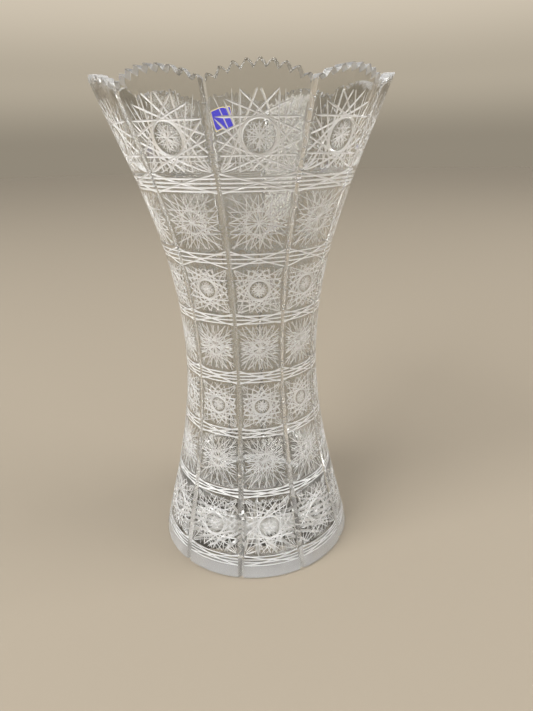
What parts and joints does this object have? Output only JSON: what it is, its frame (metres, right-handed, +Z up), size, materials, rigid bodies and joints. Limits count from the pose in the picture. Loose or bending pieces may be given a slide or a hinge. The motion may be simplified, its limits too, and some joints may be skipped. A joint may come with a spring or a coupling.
{
  "type": "cut crystal vase",
  "caption": "Tall waisted vase of clear cut crystal with scalloped sawtooth rim, starred panels between vertical flutes, thick base and a small foil label inside the rim.",
  "frame": {"origin": "centre of the foot, on the surface the vase stands on", "axes": "+Z up along the vase's axis, the centre of one cut panel faces -Y, +X to the right seen from -Y"},
  "size_m": [0.1694, 0.1726, 0.305],
  "materials": {
    "lead_crystal": "clear colourless lead crystal, hand cut and acid polished to a high gloss",
    "label_foil": "violet-blue printed foil sticker with a thin pale gold border, no lettering"
  },
  "bodies": {
    "root": {"crystal_body": "lead_crystal", "foil_label": "label_foil"}
  },
  "joints": []
}
